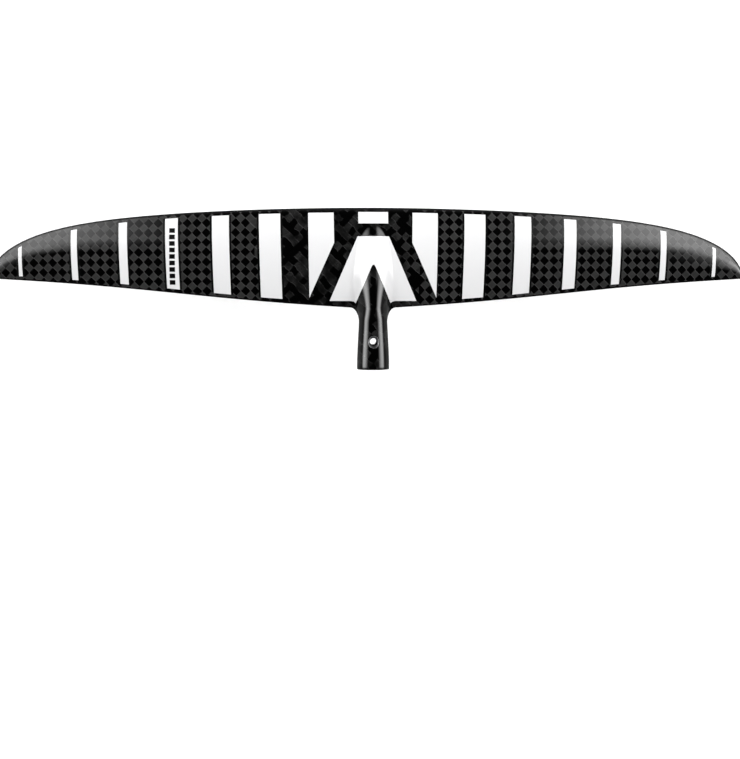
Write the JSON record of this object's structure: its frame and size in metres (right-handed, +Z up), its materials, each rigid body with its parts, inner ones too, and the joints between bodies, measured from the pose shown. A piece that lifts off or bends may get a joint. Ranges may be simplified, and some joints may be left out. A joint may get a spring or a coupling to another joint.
{
  "type": "hydrofoil front wing",
  "caption": "High-aspect hydrofoil front wing with drooped raked tips and a tapered tail socket, white stripes over woven carbon.",
  "frame": {"origin": "middle of the tail socket's mouth, where the fuselage goes in", "axes": "+X along the span to the right, +Y forward to the leading edge, +Z up from the top skin"},
  "size_m": [0.8956, 0.1875, 0.0439],
  "materials": {
    "carbon_skin": "clear-coated spread-tow carbon",
    "white_paint": "gloss paint",
    "black_print": "smooth print",
    "laminate": "bare carbon laminate",
    "foam": "closed-cell foam",
    "dense_foam": "dense foam",
    "resin": "filled resin",
    "metal": "satin titanium"
  },
  "bodies": {
    "root": {"upper_skin": "carbon_skin", "lower_skin": "carbon_skin", "upper_saddle": "laminate", "lower_saddle": "laminate", "socket_sleeve": "laminate", "upper_spar_cap": "laminate", "lower_spar_cap": "laminate", "spar_web": "dense_foam", "tip_block_left": "dense_foam", "tip_block_right": "dense_foam", "front_core_left": "foam", "front_core_right": "foam", "rear_core_left": "foam", "rear_core_right": "foam", "leading_edge_filler_left": "resin", "leading_edge_filler_right": "resin", "trailing_edge_strip_left": "resin", "trailing_edge_strip_right": "resin", "socket_plug": "resin", "front_screw_ferrule": "metal", "middle_screw_ferrule": "metal", "rear_screw_ferrule": "metal", "rear_top_ferrule": "metal"}
  },
  "joints": []
}
